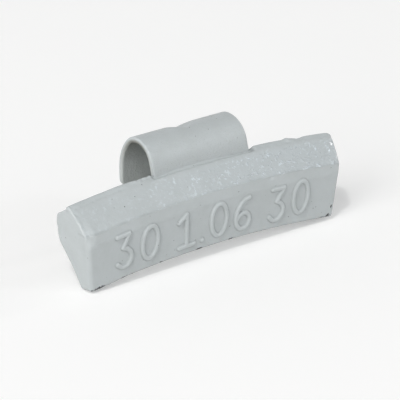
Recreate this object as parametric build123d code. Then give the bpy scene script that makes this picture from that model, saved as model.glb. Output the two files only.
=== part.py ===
from build123d import *
import os
from math import asin, cos, degrees, radians, sin, tan

# Clip-on wheel balance weight of 30 grams, in millimetres.
# X runs along the rim, Y inboard across the rim flange, Z radially outward from the wheel axis.
# The origin is in the middle of the clip's arch, where the edge of the rim flange sits.

# Casting, along the rim
wheel_axis_drop = 168.8  # from the origin down to the wheel axis, which the casting curves about
casting_length = 43.0  # from end to end along the chord of the front crease
casting_shift = -0.2  # the casting's middle along the rim, from the clip's
left_end_lean = 3.7  # degrees from upright, where square to the rim would be about 7.4
right_end_lean = 7.4
right_end_draft = 9.0  # degrees that the right end runs out towards the back
end_edge_radius = 0.3

# Casting, across its section: set-backs are from the front face, drops are from the ridge
front_to_origin = 8.2
ridge_above_origin = 0.6
ridge_set_back = 4.1
ridge_radius = 0.4
brow_set_back = 3.27  # a narrow upper facet lies between the brow and the ridge
brow_drop = 0.5
brow_radius = 0.5
crease_set_back = 0.55
crease_drop = 3.45
crease_radius = 0.5
shoulder_drop = 4.85
shoulder_radius = 1.6
front_bottom_drop = 11.45
front_draft = 3.0  # degrees that the front face leans back towards its bottom edge
bottom_width = 2.4
bottom_slope = 9.5  # degrees that the bottom strip falls towards the back
bottom_edge_radius = 0.5
knee_set_back = 7.75
knee_drop = 5.5
knee_radius = 3.0
back_top_set_back = 7.05
back_top_drop = 2.05
back_top_radius = 0.9
parting_step = 0.22  # the back half of the mould leaves its bevel this much below the ridge
parting_set_back = 0.35  # from the ridge to the parting step

# Clip: a steel strip bent from a tang in the casting, over the flange, to a free rear leg
strip_thickness = 0.85
strip_width = 16.2
rear_leg_reach = 4.31  # from the origin out to the rear leg's outer face
rear_bend_drop = 1.46  # from the origin down to where the rear leg starts to bend over
rear_bend_radius = 6.76
rear_bend_turn = 42.6  # degrees that the wide rear bend turns before the nose bend takes over
nose_radius = 3.71
front_leg_lean = 17.0  # degrees that the front leg leans from upright
rear_leg_drop = 4.4  # from the origin down to the rear leg's tip
rear_corner_radius = 1.3
tang_depth = 6.1  # from the origin down to the end of the tang

# Locking features of the tang, which the lead fills
lock_hole_diameter = 3.0
lock_hole_spacing = 7.6
lock_hole_above_end = 2.9
tang_corner_cut = 1.8

# Dart: the shallow groove pressed across the top of the nose bend to stiffen it
dart_angle = 68.0  # degrees round the nose bend, from +Y, of the middle of the dart
dart_reach = 31.0  # degrees round the bend from its middle to either end
dart_width = 4.2
dart_root_radius = 0.6


def polar(radius, angle):
    """A point in the section plane at an angle in degrees from +Y towards +Z."""
    return (radius * cos(radians(angle)), radius * sin(radians(angle)))


def section_point(set_back, drop):
    """A point of the casting's section, from the front face and the ridge."""
    return (set_back - front_to_origin, ridge_above_origin - drop)


def corner(sketch, point):
    """The sketch's corner at a point of the section plane."""
    place = Vector(0, point[0], point[1])
    return min(sketch.vertices(), key=lambda v: (Vector(v) - place).length)


def casting_section():
    """The casting's section, with its bevel in two facets, soft knee and rounded corners."""
    ridge = section_point(ridge_set_back, 0)
    brow = section_point(brow_set_back, brow_drop)
    crease = section_point(crease_set_back, crease_drop)
    shoulder = section_point(0, shoulder_drop)
    lean_back = (front_bottom_drop - shoulder_drop) * tan(radians(front_draft))
    front_bottom = section_point(lean_back, front_bottom_drop)
    bottom_fall = bottom_width * tan(radians(bottom_slope))
    back_bottom = section_point(lean_back + bottom_width, front_bottom_drop + bottom_fall)
    knee = section_point(knee_set_back, knee_drop)
    back_top = section_point(back_top_set_back, back_top_drop)

    with BuildSketch(Plane.YZ) as section:
        with BuildLine():
            Polyline(ridge, back_top, knee, back_bottom, front_bottom, shoulder, crease, brow, close=True)
        make_face()
    rounded = section.sketch
    for point, radius in (
        (ridge, ridge_radius),
        (brow, brow_radius),
        (crease, crease_radius),
        (shoulder, shoulder_radius),
        (front_bottom, bottom_edge_radius),
        (back_bottom, bottom_edge_radius),
        (knee, knee_radius),
        (back_top, back_top_radius),
    ):
        rounded = fillet(corner(rounded, point), radius)
    return rounded


def swept_round_wheel(face, half_angle):
    """A face of the section plane revolved about the wheel axis, equally to both sides."""
    wheel_axis = Axis((0, 0, -wheel_axis_drop), (0, 1, 0))
    return revolve(face.rotate(wheel_axis, -half_angle), wheel_axis, 2 * half_angle)


def parting_wedge():
    """The sliver between the raised bevel and the one that the back of the mould leaves."""
    rise = 2.0
    top = section_point(ridge_set_back + parting_set_back, -rise)
    bevel_fall = back_top_drop / (back_top_set_back - ridge_set_back)
    step_drop = parting_set_back * bevel_fall + parting_step
    foot = section_point(ridge_set_back + parting_set_back, step_drop)
    back_top = section_point(back_top_set_back, back_top_drop)
    above = section_point(back_top_set_back, -rise)
    return Plane.YZ * make_face(Polyline(top, foot, back_top, above, close=True))


def end_plane(side, lean, draft):
    """The plane of one end face, through the end of the front crease, facing outward."""
    crease = section_point(crease_set_back, crease_drop)
    outward = Vector(side * cos(radians(lean)), -sin(radians(draft)), -sin(radians(lean)))
    return Plane(origin=(side * casting_length / 2, crease[0], end_crease_height()), z_dir=outward)


def end_crease_height():
    """The height of the front crease where it meets the ends."""
    radius = wheel_axis_drop + ridge_above_origin - crease_drop
    return (radius**2 - (casting_length / 2) ** 2) ** 0.5 - wheel_axis_drop


def casting_body():
    """The lead body before the clip is cast in."""
    spare = 1.2
    half_angle = spare * degrees(asin(casting_length / 2 / wheel_axis_drop))
    body = swept_round_wheel(casting_section(), half_angle)
    for plane in (end_plane(-1, left_end_lean, 0), end_plane(1, right_end_lean, right_end_draft)):
        body = split(body, bisect_by=plane, keep=Keep.BOTTOM)
        body = fillet(body.faces().filter_by(plane).edges(), end_edge_radius)
    return body - swept_round_wheel(parting_wedge(), 2 * half_angle)


def nose_centre():
    """The centre of the nose bend, in the section plane."""
    turned = polar(rear_bend_radius - nose_radius, rear_bend_turn)
    return (rear_leg_reach - rear_bend_radius + turned[0], turned[1] - rear_bend_drop)


def leg_length():
    """The length of the straight front leg, down to the tang's outer end."""
    top = nose_centre()[1] + nose_radius * sin(radians(front_leg_lean))
    return (top + tang_depth) / cos(radians(front_leg_lean))


def strip_face(inset):
    """The points of one face of the strip, inset from its outer face, where its legs and bends meet."""
    centre = nose_centre()
    nose = polar(nose_radius - inset, 180 - front_leg_lean)
    nose_end = (centre[0] + nose[0], centre[1] + nose[1])
    down = leg_length()
    tang_end = (
        nose_end[0] - down * sin(radians(front_leg_lean)),
        nose_end[1] - down * cos(radians(front_leg_lean)),
    )
    return (rear_leg_reach - inset, -rear_leg_drop), nose_end, tang_end


def strip_profile():
    """The clip's strip seen from its end: rear leg, wide rear bend, nose bend and front leg."""
    rear_centre = (rear_leg_reach - rear_bend_radius, -rear_bend_drop)
    nose_turn = 180 - front_leg_lean - rear_bend_turn
    with BuildSketch(Plane.YZ) as profile:
        with BuildLine():
            for inset in (0, strip_thickness):
                rear_tip, nose_end, tang_end = strip_face(inset)
                Line(rear_tip, (rear_tip[0], -rear_bend_drop))
                CenterArc(rear_centre, rear_bend_radius - inset, 0, rear_bend_turn)
                CenterArc(nose_centre(), nose_radius - inset, rear_bend_turn, nose_turn)
                Line(nose_end, tang_end)
            Line(strip_face(0)[0], strip_face(strip_thickness)[0])
            Line(strip_face(0)[2], strip_face(strip_thickness)[2])
        make_face()
    return profile.sketch


def dart_wedge(root_radius, rounding):
    """A vee-sided bar across the nose bend, opening outward, with its root at a radius."""
    depth = nose_radius * (1 - cos(radians(dart_reach)))
    steepness = depth / (dart_width / 2)
    rise = nose_radius
    half_top = rise / steepness
    across = Plane(origin=(0, *nose_centre()), x_dir=(1, 0, 0), z_dir=(0, *polar(1, dart_angle + 90)))
    top = root_radius + rise
    vee = make_face(Polyline((0, root_radius), (half_top, top), (-half_top, top), close=True))
    root = vee.vertices().sort_by(Axis.Y)[0]
    vee = fillet(root, rounding)
    return extrude(across * vee, nose_radius, both=True)


def pressed_dart(strip):
    """The strip with the dart pushed in, so that its metal keeps its thickness."""
    root = nose_radius * cos(radians(dart_reach))
    within_bend = Pos(0, *nose_centre()) * Rot(0, 90, 0) * Cylinder(nose_radius - strip_thickness / 2, strip_width / 2)
    pushed_in = dart_wedge(root - strip_thickness, dart_root_radius + strip_thickness) & within_bend
    return strip + pushed_in - dart_wedge(root, dart_root_radius)


def spring_clip():
    """The bent strip, with rounded free corners, the pressed dart and the locking tang."""
    strip = extrude(strip_profile(), strip_width / 2, both=True)

    rear_corners = strip.edges().filter_by(Axis.Y).sort_by(Axis.Y)[-2:]
    strip = fillet(rear_corners, rear_corner_radius)
    strip = pressed_dart(strip)

    tang_end = Vector(0, *strip_face(strip_thickness / 2)[2])
    up_the_leg = Vector(0, sin(radians(front_leg_lean)), cos(radians(front_leg_lean)))
    through_strip = Vector(0, cos(radians(front_leg_lean)), -sin(radians(front_leg_lean)))
    for side in (-1, 1):
        hole_plane = Plane(
            origin=tang_end + up_the_leg * lock_hole_above_end + Vector(side * lock_hole_spacing / 2, 0, 0),
            x_dir=(1, 0, 0),
            z_dir=through_strip,
        )
        strip -= hole_plane * Cylinder(lock_hole_diameter / 2, 4 * strip_thickness)
        corner_plane = Plane(
            origin=tang_end + Vector(side * strip_width / 2, 0, 0), x_dir=(1, 0, 0), z_dir=through_strip
        )
        strip -= corner_plane * Rot(0, 0, 45) * Box(
            tang_corner_cut * 2**0.5, tang_corner_cut * 2**0.5, 4 * strip_thickness
        )
    return strip


def export(shape, name):
    """One STEP file for one piece."""
    solids = shape.solids()
    export_step(solids[0] if len(solids) == 1 else Compound(solids), f"parts/{name}.step")
    print(name, len(solids), "solid", round(shape.volume, 1), "mm3")


os.makedirs("parts", exist_ok=True)
clip = spring_clip()
casting = Pos(casting_shift, 0, 0) * casting_body() - clip
export(casting, "lead_casting")
export(clip, "spring_clip")
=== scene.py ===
import math

import bpy
import numpy as np
from mathutils import Matrix, Vector, geometry


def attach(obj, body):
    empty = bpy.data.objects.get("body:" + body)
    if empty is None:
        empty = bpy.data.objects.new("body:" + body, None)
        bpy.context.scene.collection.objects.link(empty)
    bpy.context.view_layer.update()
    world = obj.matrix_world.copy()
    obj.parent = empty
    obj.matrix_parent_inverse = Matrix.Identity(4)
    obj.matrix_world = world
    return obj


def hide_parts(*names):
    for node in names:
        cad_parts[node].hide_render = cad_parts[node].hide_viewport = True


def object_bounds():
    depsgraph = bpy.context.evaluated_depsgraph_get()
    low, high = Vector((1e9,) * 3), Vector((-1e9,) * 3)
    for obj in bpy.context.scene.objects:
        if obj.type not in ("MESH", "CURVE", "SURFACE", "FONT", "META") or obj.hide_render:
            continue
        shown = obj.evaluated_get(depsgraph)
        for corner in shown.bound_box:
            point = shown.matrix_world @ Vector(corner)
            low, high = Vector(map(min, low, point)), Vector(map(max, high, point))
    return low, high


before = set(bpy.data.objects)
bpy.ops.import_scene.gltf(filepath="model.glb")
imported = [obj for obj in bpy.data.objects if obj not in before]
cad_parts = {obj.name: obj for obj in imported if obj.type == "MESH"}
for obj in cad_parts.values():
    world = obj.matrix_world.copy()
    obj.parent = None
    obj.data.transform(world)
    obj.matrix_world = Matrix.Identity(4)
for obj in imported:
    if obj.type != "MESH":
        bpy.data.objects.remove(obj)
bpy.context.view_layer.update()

MM = 0.001  # shapes are worked out in millimetres, and scaled as they become meshes

# The casting
wheel_axis_drop = 168.8
casting_length = 43.0
crease_y, crease_height = -7.65, -2.85  # the crease, at the middle of the arc
brow_y, brow_height = -4.8, 0.1
shoulder_height = -4.25
left_end_lean, left_end_draft = 3.7, 0.0
right_end_lean, right_end_draft = 7.4, 9.0
left_edge_radii, right_edge_radii = (0.16, 0.6), (0.4, 0.28)  # of the bevel's end, and of the front's
casting_shift = -0.2  # its middle along the rim, from the clip's
crease_radius = wheel_axis_drop + crease_height

# The clip, whose angles are in degrees
strip_thickness = 0.85
strip_width = 16.2
rear_leg_reach = 4.31
rear_leg_drop = 4.4
rear_bend_drop = 1.46
rear_bend_radius = 6.76
rear_bend_turn = 42.6
nose_radius = 3.71
front_leg_lean = 17.0
tang_depth = 6.1
rear_corner_radius = 1.3
tang_corner_cut = 1.8
lock_hole_diameter = 3.0
lock_hole_spacing = 7.6
lock_hole_above_end = 2.9
dart_angle = 68.0
dart_reach = 31.0
dart_width = 4.2
strip_edge_radius = 0.26


def polar(radius, angle):
    """A point at a radius and an angle in degrees."""
    return np.array((radius * math.cos(math.radians(angle)), radius * math.sin(math.radians(angle))))


def smooth_step(low, high, value):
    """0 below low, 1 above high and a soft ramp between."""
    t = np.clip((value - low) / (high - low), 0.0, 1.0)
    return t * t * (3.0 - 2.0 * t)


def bell(value, middle, width):
    """1 at the middle, falling softly to nothing within a few widths."""
    return np.exp(-((value - middle) / width) ** 2)


def gradient_noise(points, cell, seed):
    """Smooth noise of about -1 to 1, whose features are as large as the cell."""
    random = np.random.default_rng(seed)
    table = 256
    shuffle = random.permutation(table)
    slopes = random.normal(size=(table, 3))
    slopes /= np.linalg.norm(slopes, axis=1, keepdims=True)
    scaled = points / cell
    corner = np.floor(scaled).astype(np.int64)
    inside = scaled - corner
    fade = inside**3 * (inside * (inside * 6 - 15) + 10)
    total = np.zeros(len(points))
    for dx in (0, 1):
        for dy in (0, 1):
            for dz in (0, 1):
                index = shuffle[(corner[:, 0] + dx) % table]
                index = shuffle[(index + corner[:, 1] + dy) % table]
                index = shuffle[(index + corner[:, 2] + dz) % table]
                reach = inside - (dx, dy, dz)
                weight = np.ones(len(points))
                for axis, step in enumerate((dx, dy, dz)):
                    weight *= fade[:, axis] if step else 1 - fade[:, axis]
                total += weight * np.einsum("ij,ij->i", slopes[index], reach)
    to_unit = 1.5
    return total * to_unit


def vertex_normals(points, faces):
    """Unit normals at the points, from the triangles and quads round them."""
    normals = np.zeros_like(points)
    for size in (3, 4):
        of_size = np.array([f for f in faces if len(f) == size], dtype=np.int64)
        corners = [points[of_size[:, k]] for k in range(size)]
        if size == 3:
            across = np.cross(corners[1] - corners[0], corners[2] - corners[0])
        else:
            across = np.cross(corners[2] - corners[0], corners[3] - corners[1])
        for k in range(size):
            np.add.at(normals, of_size[:, k], across)
    return unit_rows(normals)


def unit_rows(vectors):
    """The vectors, one to a row, at unit length."""
    least = 1e-12
    return vectors / np.maximum(np.linalg.norm(vectors, axis=1, keepdims=True), least)


def turned_vector(vector, angle):
    """A vector turned by an angle in radians."""
    cosine, sine = math.cos(angle), math.sin(angle)
    return np.array((vector[0] * cosine - vector[1] * sine, vector[0] * sine + vector[1] * cosine))


def rounded_outline(corners):
    """A closed outline from (point, radius, arc step, step of the straight run that follows)."""
    points = np.array([c[0] for c in corners], float)
    count = len(points)
    arcs = []
    for i, (_, radius, arc_step, _) in enumerate(corners):
        here, before, after = points[i], points[i - 1], points[(i + 1) % count]
        inward = (here - before) / np.linalg.norm(here - before)
        outward = (after - here) / np.linalg.norm(after - here)
        turn = math.atan2(inward[0] * outward[1] - inward[1] * outward[0], float(inward @ outward))
        run = radius * math.tan(abs(turn) / 2)
        start = here - inward * run
        side = math.copysign(1.0, turn)
        centre = start + side * radius * np.array((-inward[1], inward[0]))
        steps = max(2, math.ceil(abs(turn) * radius / arc_step))
        arcs.append([centre + turned_vector(start - centre, a) for a in np.linspace(0, turn, steps + 1)])
    outline = []
    for i, (_, _, _, run_step) in enumerate(corners):
        outline.extend(arcs[i])
        start, end = arcs[i][-1], arcs[(i + 1) % count][0]
        steps = max(1, round(np.linalg.norm(end - start) / run_step))
        outline.extend(start + (end - start) * k / steps for k in range(1, steps))
    return np.array(outline)


def outline_normals(outline, spread):
    """Unit normals of a closed outline that runs clockwise, softened over some neighbours."""
    along = np.roll(outline, -1, axis=0) - np.roll(outline, 1, axis=0)
    normals = unit_rows(np.column_stack((-along[:, 1], along[:, 0])))
    for _ in range(spread):
        normals = unit_rows(normals + np.roll(normals, 1, axis=0) + np.roll(normals, -1, axis=0))
    return normals


def filled_loops(loops, spacing, margin):
    """A grid of points inside the first loop and outside the others, and the triangles that join them all."""
    corners, edges = [], []
    for loop in loops:
        first = len(corners)
        corners.extend(map(tuple, loop))
        edges.extend((first + k, first + (k + 1) % len(loop)) for k in range(len(loop)))
    low, high = loops[0].min(axis=0), loops[0].max(axis=0)
    row_spacing = spacing * math.sqrt(0.75)
    grid = []
    for number, level in enumerate(np.arange(low[1], high[1], row_spacing)):
        places = np.arange(low[0] + (number % 2) * spacing / 2, high[0], spacing)
        grid.extend((place, level) for place in places)
    grid = np.array(grid)
    keep = inside_loop(grid, loops[0]) & far_from(grid, loops[0], margin)
    for hole in loops[1:]:
        keep &= ~inside_loop(grid, hole) & far_from(grid, hole, margin)
    border = len(corners)
    corners.extend(map(tuple, grid[keep]))
    only_inside, nearness = 1, 1e-7
    made, _, faces, _, _, _ = geometry.delaunay_2d_cdt(
        [Vector(c) for c in corners], edges, [list(range(len(loops[0])))], only_inside, nearness
    )
    assert len(made) == len(corners)
    points = np.array([tuple(v) for v in made])
    centres = np.array([points[list(f)].mean(axis=0) for f in faces])
    outside = np.zeros(len(faces), bool)
    for hole in loops[1:]:
        outside |= inside_loop(centres, hole)
    return points[border:], [tuple(f) for f, out in zip(faces, outside) if not out]


def inside_loop(points, loop):
    """Whether each point is inside a closed loop."""
    inside = np.zeros(len(points), bool)
    for here, there in zip(loop, np.roll(loop, -1, axis=0)):
        crosses = (here[1] > points[:, 1]) != (there[1] > points[:, 1])
        rise = there[1] - here[1]
        if rise == 0:
            continue
        reach = here[0] + (points[:, 1] - here[1]) / rise * (there[0] - here[0])
        inside ^= crosses & (points[:, 0] < reach)
    return inside


def far_from(points, loop, margin):
    """Whether each point keeps a margin from a loop's corners."""
    nearest = np.full(len(points), np.inf)
    for corner in loop:
        nearest = np.minimum(nearest, ((points - corner) ** 2).sum(axis=1))
    return nearest > margin**2


def mesh_piece(name, points, faces):
    """A smooth-shaded mesh object, from millimetres."""
    mesh = bpy.data.meshes.new(name)
    mesh.from_pydata((points * MM).tolist(), [], [tuple(map(int, f)) for f in faces])
    mesh.polygons.foreach_set("use_smooth", np.ones(len(mesh.polygons), bool))
    mesh.validate()
    mesh.update()
    piece = bpy.data.objects.new(name, mesh)
    bpy.context.scene.collection.objects.link(piece)
    return piece


def store_mask(piece, name, values):
    """A number for each point of a piece, for its material."""
    layer = piece.data.attributes.new(name, "FLOAT", "POINT")
    layer.data.foreach_set("value", values.astype(np.float32))


# Casting

section_corners = (
    ((-4.1, 0.6), 0.25, 0.09, 0.11),  # ridge
    ((-3.75, 0.357), 0.08, 0.08, 0.08),  # lip of the parting step
    ((-3.75, 0.137), 0.08, 0.08, 0.3),  # foot of the parting step
    ((-1.15, -1.45), 0.9, 0.25, 0.35),  # top of the back
    ((-0.45, -4.9), 3.0, 0.35, 0.5),  # knee
    ((-5.45, -11.25), 0.5, 0.14, 0.22),  # back of the bottom strip
    ((-7.85, -10.85), 0.5, 0.085, 0.085),  # foot of the front face
    ((-8.2, -4.25), 1.6, 0.085, 0.085),  # shoulder
    ((-7.65, -2.85), 0.4, 0.07, 0.12),  # crease
    ((-4.93, 0.1), 0.3, 0.08, 0.1),  # brow
)


def casting_outline():
    """The casting's section, as (y, distance from the wheel axis)."""
    return rounded_outline(section_corners) + (0, wheel_axis_drop)


def end_angle(side, y, radius):
    """The angle about the wheel axis at which an end plane meets a circle."""
    lean, draft = (right_end_lean, right_end_draft) if side > 0 else (left_end_lean, left_end_draft)
    nx, ny, nz = (
        side * math.cos(math.radians(lean)),
        -math.sin(math.radians(draft)),
        -math.sin(math.radians(lean)),
    )
    crease_z = math.sqrt(crease_radius**2 - (casting_length / 2) ** 2)
    across, up = nx * radius, nz * radius
    level = nx * side * casting_length / 2 - ny * (y - crease_y) + nz * crease_z
    return np.arctan2(across, up) - side * np.arccos(level / np.hypot(across, up))


# Rings of points along the casting
edge_turns = np.radians((90, 68, 45, 22, 0))  # round an end's edge, from the cap's rim to the full section
edge_change = (-3.6, -2.6)  # the heights between which an edge goes from its front radius to its bevel radius
inset_softening = 60  # rounds of softening that keep the inset section clear of its own tight corners
station_spacing = 0.1
cap_spacing, cap_margin = 0.21, 0.13


def end_ring(outline, inward, side, turn):
    """The section drawn in round an end's edge, and the angle about the wheel axis of each place."""
    on_bevel, on_front = right_edge_radii if side > 0 else left_edge_radii
    up_bevel = smooth_step(*edge_change, outline[:, 1] - wheel_axis_drop)
    edge_radius = on_front + (on_bevel - on_front) * up_bevel
    inset = edge_radius * (1 - math.cos(turn))
    back = edge_radius * (1 - math.sin(turn))
    moved = outline + inward * inset[:, None]
    return moved, end_angle(side, moved[:, 0], moved[:, 1]) - side * back / moved[:, 1]


def casting_grid():
    """The y, radius and angle of points on rings from end to end and then on the caps, and their faces."""
    outline = casting_outline()
    inward = -outline_normals(outline, inset_softening)
    count = len(outline)
    left_rings = [end_ring(outline, inward, -1, turn) for turn in edge_turns]
    right_rings = [end_ring(outline, inward, 1, turn) for turn in edge_turns[::-1]]
    start, end = left_rings[-1][1], right_rings[0][1]
    stations = round(casting_length / station_spacing)
    between = [(outline, start + (end - start) * k / stations) for k in range(1, stations)]
    rings = left_rings + between + right_rings

    y = np.concatenate([places[:, 0] for places, _ in rings])
    radius = np.concatenate([places[:, 1] for places, _ in rings])
    angle = np.concatenate([angles for _, angles in rings])
    faces = []
    step = np.arange(count)
    for ring in range(len(rings) - 1):
        a = ring * count + step
        b = ring * count + (step + 1) % count
        faces.extend(zip(a + count, b + count, b, a))
    for side, ring in ((-1, 0), (1, len(rings) - 1)):
        fill, triangles = filled_loops([rings[ring][0]], cap_spacing, cap_margin)
        lookup = np.concatenate((ring * count + step, len(y) + np.arange(len(fill))))
        y = np.concatenate((y, fill[:, 0]))
        radius = np.concatenate((radius, fill[:, 1]))
        angle = np.concatenate((angle, end_angle(side, fill[:, 0], fill[:, 1])))
        faces.extend(tuple(lookup[list(triangle[::side])]) for triangle in triangles)
    return y, radius, angle, faces


# Raised figures: strokes on the front face, as (length along the crease, drop below it)

steps_per_span = 8
oval_points = 49


def smooth_path(points):
    """A curve through the points."""
    points = np.array(points, float)
    padded = np.vstack((2 * points[0] - points[1], points, 2 * points[-1] - points[-2]))
    made = []
    for i in range(1, len(padded) - 2):
        p0, p1, p2, p3 = padded[i - 1:i + 3]
        for t in np.linspace(0, 1, steps_per_span, endpoint=False):
            made.append(0.5 * (
                2 * p1 + (p2 - p0) * t + (2 * p0 - 5 * p1 + 4 * p2 - p3) * t**2
                + (3 * p1 - p0 - 3 * p2 + p3) * t**3
            ))
    made.append(points[-1])
    return np.array(made)


def oval(centre, half_width, half_height, lean):
    """A closed tall oval, whose top leans along the crease by the lean."""
    turn = np.linspace(0, 2 * math.pi, oval_points)
    across = half_width * np.sin(turn)
    up = half_height * np.cos(turn)
    return np.column_stack((centre[0] + across + lean * up / half_height, centre[1] - up))


def figure_three(s, d):
    """The strokes of a flat-topped three, with the top bar's left end at (s, d)."""
    bar = np.array(((0, 0), (1.95, -0.04)))
    diagonal = np.array(((1.95, -0.04), (0.82, 1.87)))
    bowl = smooth_path((
        (0.82, 1.87), (1.45, 2.2), (1.95, 2.75), (2.1, 3.42), (1.86, 4.12),
        (1.22, 4.68), (0.36, 4.68), (-0.34, 4.1),
    ))
    return [part + (s, d) for part in (bar, diagonal, bowl)]


figures = (
    figure_three(-16.95, 1.49)
    + [oval((-11.64, 4.08), 1.3, 2.36, 0.28)]
    + figure_three(9.65, 1.94)
    + [oval((14.86, 3.9), 1.28, 2.42, -0.02)]
    # the mass in ounces, between the two in grams
    + [np.array(((-6.7, 2.85), (-5.35, 1.9), (-5.45, 6.7)))]
    + [np.array(((-6.75, 6.72), (-4.15, 6.68)))]
    + [np.array(((-2.72, 6.6), (-2.68, 6.58)))]
    + [oval((0.25, 4.25), 1.32, 2.38, 0.05)]
    + [smooth_path((
        (5.45, 2.1), (4.6, 2.35), (3.75, 3.2), (3.25, 4.5), (3.3, 5.6), (3.85, 6.45), (4.6, 6.62),
        (5.35, 6.2), (5.65, 5.4), (5.35, 4.65), (4.7, 4.3), (3.95, 4.5), (3.38, 5.1),
    ))]
)
stroke_half_width = 0.37
stroke_relief = 0.28
stroke_fullness = 2.8  # 2 would be a round stroke, and more is flatter on top


def stroke_height(s, d):
    """How far the figures stand proud at places on the front face, and how near the next stroke's line is."""
    nearest = np.full(len(s), np.inf)
    for path in figures:
        for here, there in zip(path[:-1], path[1:]):
            run = there - here
            t = ((s - here[0]) * run[0] + (d - here[1]) * run[1]) / float(run @ run)
            t = np.clip(t, 0, 1)
            gap = (s - here[0] - t * run[0]) ** 2 + (d - here[1] - t * run[1]) ** 2
            nearest = np.minimum(nearest, gap)
    nearest = np.sqrt(nearest)
    crown = np.sqrt(np.clip(1 - (nearest / stroke_half_width) ** stroke_fullness, 0, 1))
    return stroke_relief * crown, nearest


# Chips in the coat: (length along the crease, y, height at the middle of the arc, half length, half width)
chips = (
    (-20.7, -7.7, -10.68, 1.0, 0.24),
    (-16.3, -7.72, -10.66, 0.6, 0.17),
    (-14.9, -7.72, -10.66, 0.25, 0.15),
    (-9.9, -7.72, -10.66, 0.35, 0.14),
    (-3.2, -7.72, -10.66, 0.6, 0.2),
    (2.6, -7.72, -10.66, 0.55, 0.18),
    (19.6, -7.72, -10.64, 0.6, 0.14),
    (20.6, -7.9, -10.5, 0.35, 0.24),
    (21.0, -7.95, -9.2, 0.12, 0.3),
    (21.45, -7.9, -3.2, 0.12, 0.25),
)
chip_depth = 0.03
chip_edge = (0.45, 0.7)  # the mask's values between which the coat's edge falls to the bare lead


def chip_mask(s, y, flat_z):
    """How far inside a chip each place is: 1 at its middle, a half at its edge and less outside."""
    bare = np.zeros(len(s))
    for along, chip_y, chip_z, half_length, half_width in chips:
        lengthwise = ((s - along) / half_length) ** 2
        gap = np.sqrt(lengthwise + ((y - chip_y) / half_width) ** 2 + ((flat_z - chip_z) / half_width) ** 2)
        bare = np.maximum(bare, 1 - 0.5 * gap)
    return bare


# The crease, which turns crisp past the left end: s is the length along it from the middle
crisp_from = (-21.6, -20.0)
crisp_forward, crisp_rise = 0.45, 0.15
crisp_rise_from = -3.6
crisp_blend = 0.1  # the height over which the bevel's shift hands over to the front face's
crisp_depth = 2.8  # from the brow's y to where the front face's shift is full
hollow_slope, hollow_softness, hollow_share = 0.2, 0.06, 0.8  # of the front face just below the crease
hollow_heights = (-4.9, -4.3)


def crisp_crease(y, radius, s):
    """The section's y and radius, with the crease brought forward and up away from the left end."""
    z = radius - wheel_axis_drop
    below_crease = crease_height - crisp_blend
    along = smooth_step(*crisp_from, s) * (y < brow_y)
    above = np.clip((brow_height - z) / (brow_height - crease_height), 0, 1)
    on_bevel = along * above * smooth_step(below_crease, crease_height, z)
    to_front = np.clip((brow_y - y) / crisp_depth, 0, 1)
    on_face = along * smooth_step(crease_height, below_crease, z) * to_front
    rise = hollow_slope * (z - shoulder_height)
    hollow = (rise + np.hypot(rise, hollow_softness)) * smooth_step(*hollow_heights, z) * hollow_share
    raised = crisp_rise * along * above * smooth_step(crisp_rise_from, crease_height, z)
    return y - crisp_forward * on_bevel - on_face * hollow, radius + raised


# The two ends, which bulge and are rounded unequally
right_drawn_out = 0.2  # for each millimetre above the crease
left_pushed_out = 0.16
left_foot_drop = 0.13
corner_reach, corner_drop = 1.4, 0.9  # the rounding of the ridge's right end, along it and down
drawn_reach, pushed_reach, foot_reach = (5.0, 0.0), (4.0, 0.0), (8.0, 3.0)  # distances from the end
drawn_ahead, pushed_behind = (-1.0, -3.5), (-7.0, -4.0)  # in y
corner_heights, pushed_heights, foot_heights = (-1.8, 0.5), (-9.0, -5.0), (-9.5, -11.0)


def end_forms(y, radius, angle):
    """The radius and angle, with the right end drawn out towards a well rounded ridge corner."""
    z = radius - wheel_axis_drop
    from_right = (end_angle(1, y, radius) - angle) * crease_radius
    from_left = (angle - end_angle(-1, y, radius)) * crease_radius
    drawn_out = right_drawn_out * np.clip(z - crease_height, 0, None)
    drawn_out *= smooth_step(*drawn_ahead, y) * smooth_step(*drawn_reach, from_right)
    pushed_out = left_pushed_out * smooth_step(*pushed_behind, y)
    pushed_out *= smooth_step(*pushed_heights, z) * smooth_step(*pushed_reach, from_left)
    turn = 1 - np.clip(from_right / corner_reach, 0, 1)
    drop = corner_drop * (1 - np.sqrt(1 - turn**2)) * smooth_step(*corner_heights, z)
    drop += left_foot_drop * smooth_step(*foot_reach, from_left) * smooth_step(*foot_heights, z)
    return radius - drop, angle + (drawn_out - pushed_out) / crease_radius


def unevenness(points, height, cell, seed):
    """Noise of a height, with features of a size, that a seed sets."""
    return height * gradient_noise(points, cell, seed)


# Unevenness of the casting: height, size of the features and seed
casting_swells = (0.03, 2.6, 11)
casting_ripples = (0.01, 1.2, 12)
casting_grain = (0.005, 0.45, 13)
bevel_lumps = (1.0, 0.75, 21)
bevel_hollows = (0.03, 1.2, 22)
ridge_waves = (0.15, 0.7, 31)
brow_waves = (0.07, 0.6, 32)
left_edge_waves = (0.13, 0.55, 33)
crease_line_breaks = (0.45, 1.5, 51)
front_smoothness = 0.5  # the share of the swells that the front face is without
lump_height, lump_start, lump_full = 0.055, 0.0, 0.8


def coat_relief(points, front, roughness):
    """The swells, ripples and grain of the coat, and the lumps of the rough bevel."""
    swells = (1 - front_smoothness * front) * unevenness(points, *casting_swells)
    fine = unevenness(points, *casting_ripples) + unevenness(points, *casting_grain)
    lumps = lump_height * smooth_step(lump_start, lump_full, unevenness(points, *bevel_lumps))
    return swells + fine + roughness * (lumps + unevenness(points, *bevel_hollows))


# Lines along the casting: y, height at the middle of the arc, and the distances where each ends and is full
ridge_line = (-4.0, 0.45, 0.75, 0.3)
brow_line = (-4.6, 0.15, 0.5, 0.15)
clip_line = (-4.1, 0.4, 1.0, 0.45)

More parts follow.
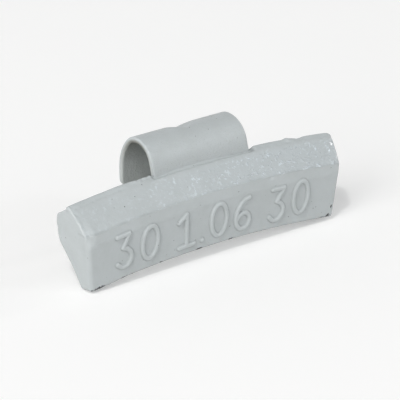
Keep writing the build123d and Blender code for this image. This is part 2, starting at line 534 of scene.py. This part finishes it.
# Small forms: place along the crease and width, or height and width where they run along it
ridge_bump, bump_height = (14.6, 0.5), 0.16
ridge_notch, notch_depth = (16.6, 0.7), 0.2
dent_place, dent_level, dent_depth = (9.2, 0.45), (-2.9, 0.3), 0.12
crease_groove, groove_depth = (-2.62, 0.09), 0.035
# Height and width of the painted shade line along the crease
crease_shade = (-2.66, 0.13)
crevice_end = (8.45, 0.3)  # where painted shade darkens the end of the line sunk along the clip's foot

# Spans along the crease over which forms come in
ridge_rise_span, ridge_rise = (-10.0, -13.0), 0.09
waves_start, waves_end = (-12.5, -11.0), (-7.0, -8.2)
sunk_start, sunk_end = (-8.5, -7.8), (9.1, 8.2)
sunk_left, sunk_right = (-4.0, -7.0), (1.0, 7.0)
sunk_depth, sunk_more_left, sunk_more_right = 0.26, 0.1, 0.16
groove_end = (21.6, 20.6)
rough_span, least_rough = (-16.0, 12.0), 0.2


def near_line(y, flat_z, line):
    """1 on a line along the casting and 0 away from it."""
    line_y, line_z, end, full = line
    return smooth_step(end, full, np.hypot(y - line_y, flat_z - line_z))


def ridge_relief(points, s, y, flat_z):
    """The ridge's bump, notch and waves, the waves of the brow and the line sunk along the clip's foot."""
    rise = bump_height * bell(s, *ridge_bump) - notch_depth * bell(s, *ridge_notch)
    rise += ridge_rise * smooth_step(*ridge_rise_span, s)
    waves = unevenness(points, *ridge_waves) * smooth_step(*waves_start, s) * smooth_step(*waves_end, s)
    sunk = sunk_depth + sunk_more_left * smooth_step(*sunk_left, s)
    sunk += sunk_more_right * smooth_step(*sunk_right, s)
    sunk *= smooth_step(*sunk_start, s) * smooth_step(*sunk_end, s)
    brow = unevenness(points, *brow_waves) * near_line(y, flat_z, brow_line)
    return near_line(y, flat_z, ridge_line) * (rise + waves) - near_line(y, flat_z, clip_line) * sunk + brow


# How far a face has to look forward, or up and forward, to count as the front or the bevel
front_facing = (0.6, 0.95)
bevel_facing = (0.35, 0.6)
bevel_below_brow = (0.15, -0.35)  # heights over which the bevel's roughness comes in
front_part_y = -6.0
left_edge_span = (0.7, 0.0)  # distances from the left end over which its edge comes in
crown_from = (0.5, 1.0)  # shares of a stroke's height over which its crown comes in
# How dark the painted shade is round the feet of the figures' strokes, along the crease and at the end of the
# line by the clip's foot
stroke_foot_shade, stroke_foot_offset, stroke_foot_width = 0.9, 0.02, 0.08
crease_line_shade, crevice_shade = 0.55, 1.6


def casting_piece():
    """The casting, with its uneven coat, raised figures and chips."""
    y, radius, angle, faces = casting_grid()
    radius, angle = end_forms(y, radius, angle)
    s = angle * crease_radius
    y, radius = crisp_crease(y, radius, s)
    points = np.column_stack((radius * np.sin(angle), y, radius * np.cos(angle) - wheel_axis_drop))
    normals = vertex_normals(points, faces)
    flat_z = radius - wheel_axis_drop  # the height that the point would have at the middle of the arc

    front = smooth_step(*front_facing, -normals[:, 1])
    bevel = smooth_step(*bevel_facing, normals[:, 2]) * smooth_step(*bevel_facing, -normals[:, 1])
    ahead = y < front_part_y
    to_the_right = least_rough + (1 - least_rough) * smooth_step(*rough_span, s)
    roughness = bevel * smooth_step(*bevel_below_brow, flat_z) * to_the_right
    raised, from_stroke = stroke_height(s, crease_radius - radius)
    from_left = (angle - end_angle(-1, y, radius)) * crease_radius
    left_edge = smooth_step(*left_edge_span, from_left) * bevel
    bare = chip_mask(s, y, flat_z)

    height = coat_relief(points, front, roughness)
    height -= groove_depth * bell(flat_z, *crease_groove) * ahead * smooth_step(*groove_end, np.abs(s))
    height += front * raised
    height += ridge_relief(points, s, y, flat_z)
    height += left_edge * unevenness(points, *left_edge_waves)
    height -= dent_depth * bell(s, *dent_place) * bell(flat_z, *dent_level) * ahead
    height -= chip_depth * smooth_step(*chip_edge, bare)

    piece = mesh_piece("casting", points + normals * height[:, None] + (casting_shift, 0, 0), faces)
    store_mask(piece, "bare", bare)
    # The bevel's roughness brings in its lumps and gloss, and painted glints and a painted pale sheen
    store_mask(piece, "sparkle", roughness)
    # The crown mask makes the figures' crowns glossier and paints a highlight on them
    store_mask(piece, "crown", front * smooth_step(*crown_from, raised / stroke_relief))
    # Painted shade, in one mask: a broken dark line along the crease, dark lines round the feet of the
    # figures' strokes and a dark end to the line sunk along the clip's foot
    broken = crease_line_shade + unevenness(points, *crease_line_breaks)
    painted_shade_lines = bell(flat_z, *crease_shade) * ahead * broken
    painted_foot_shade = bell(from_stroke, stroke_half_width + stroke_foot_offset, stroke_foot_width)
    crevice = crevice_shade * bell(s, *crevice_end) * near_line(y, flat_z, clip_line)
    dark = np.maximum(np.maximum(painted_shade_lines, stroke_foot_shade * front * painted_foot_shade), crevice)
    store_mask(piece, "painted_shade_lines", dark)
    return piece


# Clip, made as a flat blank and bent

half_thickness = strip_thickness / 2
rear_bend_length = math.radians(rear_bend_turn) * (rear_bend_radius - half_thickness)
nose_turn = 180 - front_leg_lean - rear_bend_turn
nose_length = math.radians(nose_turn) * (nose_radius - half_thickness)
rear_centre = np.array((rear_leg_reach - rear_bend_radius, -rear_bend_drop))
nose_centre = rear_centre + polar(rear_bend_radius - nose_radius, rear_bend_turn)
nose_bottom = nose_centre[1] + nose_radius * math.sin(math.radians(front_leg_lean))
front_leg_length = (nose_bottom + tang_depth) / math.cos(math.radians(front_leg_lean))
rear_bend_start = rear_leg_drop - rear_bend_drop
nose_start = rear_bend_start + rear_bend_length
nose_stop = nose_start + nose_length
blank_length = nose_stop + front_leg_length


def turned_by(t):
    """How far the strip has turned, in degrees, at a length along it from the rear tip."""
    rear = np.clip((t - rear_bend_start) / rear_bend_length, 0, 1) * rear_bend_turn
    return rear + np.clip((t - nose_start) / nose_length, 0, 1) * nose_turn


def bent(x, t, lift):
    """The places of a blank's points: across, along from the rear tip, and out from its middle."""
    turn = np.radians(turned_by(t))
    out = np.column_stack((np.cos(turn), np.sin(turn)))
    along = np.column_stack((-np.sin(turn), np.cos(turn)))
    on_rear, on_nose = t < nose_start, t >= nose_start
    centre = np.where(on_rear[:, None], rear_centre, nose_centre)
    reach = np.where(on_rear, rear_bend_radius, nose_radius) - half_thickness + lift
    straight = np.minimum(t - rear_bend_start, 0) * on_rear + np.maximum(t - nose_stop, 0) * on_nose
    place = centre + out * reach[:, None] + along * straight[:, None]
    return np.column_stack((x, place))


strip_edge_turns = np.radians((90, 67.5, 45, 22.5, 0))
blank_step = 0.2
tang_corner = (0.2, 0.1, blank_step)  # radius, arc step and step of the straight run that follows
rear_corner = (rear_corner_radius, blank_step, blank_step)
hole_points = 48
sheet_spacing, sheet_margin = 0.19, 0.12


def blank_loops():
    """The blank's outline and its locking holes, as (across, length from the rear tip)."""
    half = strip_width / 2
    cut = tang_corner_cut
    loops = [rounded_outline((
        ((-half, 0), *rear_corner),
        ((-half, blank_length - cut), *tang_corner),
        ((-half + cut, blank_length), *tang_corner),
        ((half - cut, blank_length), *tang_corner),
        ((half, blank_length - cut), *tang_corner),
        ((half, 0), *rear_corner),
    ))]
    turn = np.linspace(0, 2 * math.pi, hole_points, endpoint=False)
    hole = lock_hole_diameter / 2 * np.column_stack((np.cos(turn), np.sin(turn)))
    for side in (-1, 1):
        loops.append(np.array((side * lock_hole_spacing / 2, blank_length - lock_hole_above_end)) + hole)
    return loops


def edge_profile():
    """The strip's rounded edge, from its outer face to its inner one, as (inset, lift)."""
    radius = strip_edge_radius
    outer = [
        (radius * (1 - math.cos(turn)), half_thickness - radius * (1 - math.sin(turn)))
        for turn in strip_edge_turns
    ]
    return outer + [(0, 0)] + [(inset, -lift) for inset, lift in outer[::-1]]


def clip_blank():
    """The flat blank's points, how far each is lifted off the middle of the strip, and the faces."""
    loops = blank_loops()
    profile = edge_profile()
    blank, lifts, faces, starts = [], [], [], []
    total = 0
    for number, loop in enumerate(loops):
        normals = outline_normals(loop, 1)
        outward = math.copysign(1.0, float(((loop - loop.mean(axis=0)) * normals).sum()))
        into_metal = -outward * normals if number == 0 else outward * normals
        size = len(loop)
        starts.append((total, size))
        for inset, lift in profile:
            blank.append(loop + into_metal * inset)
            lifts.append(np.full(size, lift))
        step = np.arange(size)
        for ring in range(len(profile) - 1):
            a = total + ring * size + step
            b = total + ring * size + (step + 1) % size
            faces.extend(zip(a + size, b + size, b, a))
        total += size * len(profile)
    inner_loops = [blank[len(profile) * k] for k in range(len(loops))]
    fill, triangles = filled_loops(inner_loops, sheet_spacing, sheet_margin)
    for side, ring in ((1, 0), (-1, len(profile) - 1)):
        rims = [first + ring * size + np.arange(size) for first, size in starts]
        lookup = np.concatenate(rims + [total + np.arange(len(fill))])
        blank.append(fill)
        lifts.append(np.full(len(fill), side * half_thickness))
        total += len(fill)
        faces.extend(tuple(lookup[list(triangle[::-side])]) for triangle in triangles)
    return np.vstack(blank), np.concatenate(lifts), faces


dart_root_softness, dart_root_offset, dart_rim_softness = 0.12, 0.1, 0.04
dart_most_turn, dart_most_across = 48, 4  # the dart ends within these, in degrees and in millimetres
turn_limit = 80  # degrees, short of where the cosine reaches 0


def dart_depth(across, turned):
    """How far the pressed dart sinks the strip, from the place across it and the turn round its bends."""
    turn = turned - dart_angle
    root = nose_radius * math.cos(math.radians(dart_reach))
    steepness = (nose_radius - root) / (dart_width / 2)
    vee = np.sqrt(across**2 + dart_root_softness**2) - dart_root_offset
    cosine = np.cos(np.radians(np.clip(turn, -turn_limit, turn_limit)))
    depth = nose_radius - (root + steepness * vee) / cosine
    near = (np.abs(turn) < dart_most_turn) * (np.abs(across) < dart_most_across)
    return 0.5 * (depth + np.sqrt(depth**2 + dart_rim_softness**2)) * near


edge_drawn_in, edge_drawn_turn, edge_drawn_from = 0.3, (85, 50), 2.0  # of the right edge, round the arch
clip_swells = (0.012, 1.7, 41)
clip_ripples = (0.006, 0.7, 42)
clip_grain = (0.0035, 0.35, 43)
face_blend = 0.2  # the lift over which one face of the strip gives way to the other
under_start, under_end = (0, 60), (175, 110)  # degrees turned over which the painted shade under the arch comes in
foot_span = (-1.1, 1.6)  # lengths past the nose bend over which the painted shade by the foot comes in


def clip_piece():
    """The clip, bent from its blank, with its dart and its uneven coat."""
    blank, lift, faces = clip_blank()
    across, along = blank[:, 0], blank[:, 1]
    turned = turned_by(along)
    to_edge = smooth_step(edge_drawn_from, strip_width / 2, across)
    drawn_in = edge_drawn_in * bell(turned, *edge_drawn_turn) * to_edge
    points = bent(across - drawn_in, along, lift - dart_depth(across, turned))
    normals = vertex_normals(points, faces)
    height = unevenness(points, *clip_swells) + unevenness(points, *clip_ripples)
    height += unevenness(points, *clip_grain)
    piece = mesh_piece("clip", points + normals * height[:, None], faces)
    inner_face = smooth_step(face_blend, -face_blend, lift)
    outer_face = smooth_step(-face_blend, face_blend, lift)
    under_arch = smooth_step(*under_start, turned) * smooth_step(*under_end, turned)
    # Painted shade under the arch, and below on the outer face by the clip's foot
    store_mask(piece, "painted_arch_shade", inner_face * under_arch)
    store_mask(piece, "inside", inner_face)
    store_mask(piece, "painted_foot_shade", smooth_step(*foot_span, along - nose_stop) * outer_face)
    return piece


# Materials

def node(tree, kind, **settings):
    """A new node with its settings."""
    made = tree.nodes.new(kind)
    for key, value in settings.items():
        setattr(made, key, value)
    return made


def noise(tree, place, size_mm, detail=2.0, roughness=0.5):
    """Noise whose features are of a size in millimetres."""
    made = node(tree, "ShaderNodeTexNoise")
    made.inputs["Scale"].default_value = 1 / (size_mm * MM)
    made.inputs["Detail"].default_value = detail
    made.inputs["Roughness"].default_value = roughness
    tree.links.new(place, made.inputs["Vector"])
    return made.outputs["Fac"]


def ramp(tree, value, low, high, out_low=0.0, out_high=1.0):
    """A soft ramp from one number to another as the value goes from low to high."""
    made = node(tree, "ShaderNodeMapRange", interpolation_type="SMOOTHSTEP")
    tree.links.new(value, made.inputs["Value"])
    for key, number in (("From Min", low), ("From Max", high), ("To Min", out_low), ("To Max", out_high)):
        made.inputs[key].default_value = number
    return made.outputs["Result"]


def mix(tree, factor, first, second):
    """A blend of two colours, each a socket or a plain colour."""
    made = node(tree, "ShaderNodeMix", data_type="RGBA")
    tree.links.new(factor, made.inputs["Factor"])
    for name, value in (("A", first), ("B", second)):
        socket = [i for i in made.inputs if i.name == name and i.type == "RGBA"][0]
        if isinstance(value, tuple):
            socket.default_value = (*value, 1)
        else:
            tree.links.new(value, socket)
    return [o for o in made.outputs if o.type == "RGBA"][0]


def maths(tree, operation, first, second):
    """An operation on two values, each a socket or a number."""
    made = node(tree, "ShaderNodeMath", operation=operation)
    for socket, value in zip(made.inputs, (first, second)):
        if isinstance(value, (int, float)):
            socket.default_value = value
        else:
            tree.links.new(value, socket)
    return made.outputs[0]


def mask(tree, name):
    """A piece's stored mask."""
    return node(tree, "ShaderNodeAttribute", attribute_name=name).outputs["Fac"]


def tint(tree, colour, share, amount, tinted):
    """The colour taken towards another by a mask and an amount."""
    return mix(tree, maths(tree, "MULTIPLY", share, amount), colour, tinted)


def bump(tree, height, distance_mm, strength=1.0, after=None):
    """The normal over small heights, on top of another bump's where there is one."""
    made = node(tree, "ShaderNodeBump")
    made.inputs["Distance"].default_value = distance_mm * MM
    if isinstance(strength, (int, float)):
        made.inputs["Strength"].default_value = strength
    else:
        tree.links.new(strength, made.inputs["Strength"])
    tree.links.new(height, made.inputs["Height"])
    if after:
        tree.links.new(after, made.inputs["Normal"])
    return made.outputs["Normal"]


coat_colour = (0.480, 0.512, 0.514)
coat_pale = (0.500, 0.533, 0.538)
coat_dark = (0.415, 0.440, 0.438)
speck_colour = (0.12, 0.12, 0.12)
# painted shade, for the crease, the feet of the figures and the end of the line by the clip's foot
painted_shade_colour = (0.27, 0.29, 0.29)
# painted highlight on the crowns of the figures
crown_highlight_colour = (0.60, 0.635, 0.64)
# painted pale sheen on the rough bevel
bevel_sheen_colour = (0.54, 0.59, 0.615)
# painted glints on the rough bevel
glint_colour = (0.78, 0.86, 0.91)
bare_lead = (0.045, 0.045, 0.048)
inside_colour = (0.485, 0.495, 0.46)
# painted shade under the clip's arch
arch_shade_colour = (0.19, 0.19, 0.17)
# painted shade on the clip's outer face by its foot
foot_shade_colour = (0.33, 0.35, 0.35)
painted_shade_amount, crown_highlight_amount, bevel_sheen_amount = 0.55, 0.12, 0.3
inside_amount, arch_shade_amount, foot_shade_amount = 0.5, 0.95, 0.35
coat_ior = 1.5


def casting_marks(tree, place, colour, fine, coarse):
    """Colour, roughness and normal of the casting's coat, with bare chips, painted glints and a painted pale
    sheen on the rough bevel, a painted highlight on the figures' crowns, and painted shade along the crease,
    round the figures' feet and by the clip's foot.
    """
    sparkle = mask(tree, "sparkle")
    colour = tint(tree, colour, mask(tree, "painted_shade_lines"), painted_shade_amount, painted_shade_colour)
    crown = mask(tree, "crown")
    colour = tint(tree, colour, crown, crown_highlight_amount, crown_highlight_colour)
    shiny = maths(tree, "MAXIMUM", sparkle, crown)
    gloss = ramp(tree, shiny, 0.0, 1.0, out_low=0.27, out_high=0.2)
    peel = bump(tree, coarse, distance_mm=0.02)
    peel = bump(tree, fine, distance_mm=0.012, after=peel)
    grains = ramp(tree, noise(tree, place, size_mm=0.55, detail=3.0, roughness=0.62), 0.5, 0.72)
    normal = bump(tree, grains, distance_mm=0.09, strength=sparkle, after=peel)
    patches = ramp(tree, noise(tree, place, size_mm=2.2, detail=1.0), 0.36, 0.62, out_low=0.25)
    # Painted glints: pale specks in patches over the rough bevel, over a painted pale sheen
    glints = maths(tree, "MULTIPLY", maths(tree, "MULTIPLY", grains, patches), sparkle)
    colour = tint(tree, colour, sparkle, bevel_sheen_amount, bevel_sheen_colour)
    colour = mix(tree, glints, colour, glint_colour)
    bare = mask(tree, "bare")
    ragged = noise(tree, place, size_mm=0.3, detail=3.0, roughness=0.7)
    ragged = ramp(tree, ragged, 0.3, 0.7, out_low=-0.25, out_high=0.25)
    chipped = ramp(tree, maths(tree, "ADD", bare, ragged), 0.5, 0.56)
    return mix(tree, chipped, colour, bare_lead), gloss, normal


def clip_marks(tree, place, colour, fine, coarse):
    """Colour, roughness and normal of the clip's coat: warmer on its inner face, with painted shade under the
    arch and on the outer face by its foot.
    """
    arch_shade = mask(tree, "painted_arch_shade")
    inside = mask(tree, "inside")
    painted_foot_shade = mask(tree, "painted_foot_shade")
    colour = tint(tree, colour, inside, inside_amount, inside_colour)
    colour = tint(tree, colour, arch_shade, arch_shade_amount, arch_shade_colour)
    colour = tint(tree, colour, painted_foot_shade, foot_shade_amount, foot_shade_colour)
    speckles = noise(tree, place, size_mm=0.35)
    gloss = ramp(tree, speckles, 0.35, 0.7, out_low=0.44, out_high=0.28)
    peel = bump(tree, coarse, distance_mm=0.05)
    return colour, gloss, bump(tree, fine, distance_mm=0.085, after=peel)


def coat_material(name, marks):
    """Sprayed grey coat, with a fine orange peel, faint clouds of shade and small dark specks."""
    material = bpy.data.materials.new(name)
    material.use_nodes = True
    tree = material.node_tree
    shader = tree.nodes["Principled BSDF"]
    place = node(tree, "ShaderNodeTexCoord").outputs["Object"]
    clouds = ramp(tree, noise(tree, place, size_mm=3.2, detail=3.0), 0.35, 0.65)
    colour = mix(tree, clouds, coat_colour, coat_pale)
    mottle = noise(tree, place, size_mm=0.5, detail=3.0, roughness=0.6)
    mottle = ramp(tree, mottle, 0.5, 0.78, out_high=0.18)
    colour = mix(tree, mottle, colour, coat_dark)
    specks = ramp(tree, noise(tree, place, size_mm=0.3, detail=0.0), 0.845, 0.87)
    colour = mix(tree, specks, colour, speck_colour)
    fine = noise(tree, place, size_mm=0.2)
    coarse = noise(tree, place, size_mm=0.5, detail=1.0)
    colour, gloss, normal = marks(tree, place, colour, fine, coarse)
    tree.links.new(colour, shader.inputs["Base Color"])
    tree.links.new(gloss, shader.inputs["Roughness"])
    tree.links.new(normal, shader.inputs["Normal"])
    shader.inputs["IOR"].default_value = coat_ior
    return material


casting = casting_piece()
casting.data.materials.append(coat_material("casting_coat", casting_marks))
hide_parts("lead_casting")
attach(casting, "root")

clip = clip_piece()
clip.data.materials.append(coat_material("clip_coat", clip_marks))
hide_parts("spring_clip")
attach(clip, "root")

# Floor

floor_size = 4.0  # from the middle to each side
floor_colour = (0.78, 0.775, 0.765, 1)
floor_glow = 0.258

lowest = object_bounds()[0].z
corner_signs = ((-1, -1), (1, -1), (1, 1), (-1, 1))
floor_corners = [(x * floor_size, y * floor_size, lowest) for x, y in corner_signs]
floor_mesh = bpy.data.meshes.new("floor")
floor_mesh.from_pydata(floor_corners, [], [(0, 1, 2, 3)])
floor = bpy.data.objects.new("floor", floor_mesh)
bpy.context.scene.collection.objects.link(floor)


def floor_material():
    """A matt pale floor that shows a little brighter to the camera than it lights the object."""
    material = bpy.data.materials.new("floor")
    material.use_nodes = True
    tree = material.node_tree
    tree.nodes.clear()
    matt = node(tree, "ShaderNodeBsdfDiffuse")
    matt.inputs["Color"].default_value = floor_colour
    glow = node(tree, "ShaderNodeEmission")
    glow.inputs["Color"].default_value = (1, 1, 1, 1)
    seen = node(tree, "ShaderNodeLightPath").outputs["Is Camera Ray"]
    tree.links.new(maths(tree, "MULTIPLY", seen, floor_glow), glow.inputs["Strength"])
    both = node(tree, "ShaderNodeAddShader")
    tree.links.new(matt.outputs[0], both.inputs[0])
    tree.links.new(glow.outputs[0], both.inputs[1])
    out = node(tree, "ShaderNodeOutputMaterial")
    tree.links.new(both.outputs[0], out.inputs["Surface"])
    return material


floor.data.materials.append(floor_material())

# Light

backdrop_level = 0.905
sky_colour = (0.97, 0.985, 1.0, 1)
sky_at_horizon, sky_overhead = 1.06, 0.084
lamp_distance = 1.5


def light_world():
    """A plain backdrop to the camera, and for the light a sky that is brightest at the horizon."""
    world = bpy.data.worlds.new("world")
    bpy.context.scene.world = world
    world.use_nodes = True
    tree = world.node_tree
    background = tree.nodes["Background"]
    background.inputs["Color"].default_value = sky_colour
    seen = node(tree, "ShaderNodeLightPath").outputs["Is Camera Ray"]
    direction = node(tree, "ShaderNodeSeparateXYZ")
    tree.links.new(node(tree, "ShaderNodeTexCoord").outputs["Generated"], direction.inputs[0])
    sky = ramp(tree, direction.outputs["Z"], 0.0, 1.0, sky_at_horizon, sky_overhead)
    unseen = maths(tree, "SUBTRACT", 1, seen)
    backdrop = maths(tree, "MULTIPLY", seen, backdrop_level)
    strength = maths(tree, "ADD", backdrop, maths(tree, "MULTIPLY", unseen, sky))
    tree.links.new(strength, background.inputs["Strength"])


def soft_box(name, direction, size, strength, colour=(1, 1, 1)):
    """A square lamp that faces the object from a direction; strength is how bright its face is."""
    light = bpy.data.lights.new(name, "AREA")
    light.shape = "SQUARE"
    light.size = size
    light.color = colour
    light.energy = strength * math.pi * size**2
    lamp = bpy.data.objects.new(name, light)
    toward = Vector(direction).normalized()
    lamp.location = toward * lamp_distance
    lamp.rotation_mode = "QUATERNION"
    lamp.rotation_quaternion = toward.to_track_quat("Z", "Y")
    bpy.context.scene.collection.objects.link(lamp)


light_world()
soft_box("left box", (-0.9, -0.25, 0.42), 0.9, 3.45)
soft_box("top box", (-0.5, -0.25, 0.83), 0.75, 2.6)
soft_box("top lamp", (-0.45, -0.3, 0.84), 0.1, 130.0)
soft_box("side lamp", (0.91, -0.13, 0.4), 0.1, 45.0)
soft_box("right box", (0.55, -0.68, 0.48), 0.2, 12.0, (0.94, 0.97, 1.0))

# Camera

azimuth, elevation = math.radians(36.24), math.radians(24.0)
scale = 0.1365  # millimetres to a pixel of a 400-pixel frame, at the reference point
focal_pixels = 2500.0
frame_pixels = 400.0
sensor_width = 36.0
reference = Vector((casting_shift, -8.2, -2.85))
reference_right, reference_down = 18.4, -8.16  # where it shows, from the middle of the frame

forward = (math.sin(azimuth), math.cos(azimuth))
look = Vector((forward[0] * math.cos(elevation), forward[1] * math.cos(elevation), -math.sin(elevation)))
to_right = Vector((forward[1], -forward[0], 0.0))
to_top = Vector((forward[0] * math.sin(elevation), forward[1] * math.sin(elevation), math.cos(elevation)))
target = reference - to_right * (reference_right * scale) + to_top * (reference_down * scale)
turned_frame = Matrix((
    (to_right.x, to_top.x, -look.x, 0),
    (to_right.y, to_top.y, -look.y, 0),
    (to_right.z, to_top.z, -look.z, 0),
    (0, 0, 0, 1),
))
camera = bpy.data.objects.new("camera", bpy.data.cameras.new("camera"))
camera.data.sensor_width = sensor_width
camera.data.lens = focal_pixels / frame_pixels * sensor_width
camera.matrix_world = Matrix.Translation((target - look * (focal_pixels * scale)) * MM) @ turned_frame
camera.data.clip_start, camera.data.clip_end = 0.01, 20.0
bpy.context.scene.collection.objects.link(camera)
bpy.context.scene.camera = camera
bpy.context.scene.view_settings.view_transform = "Standard"
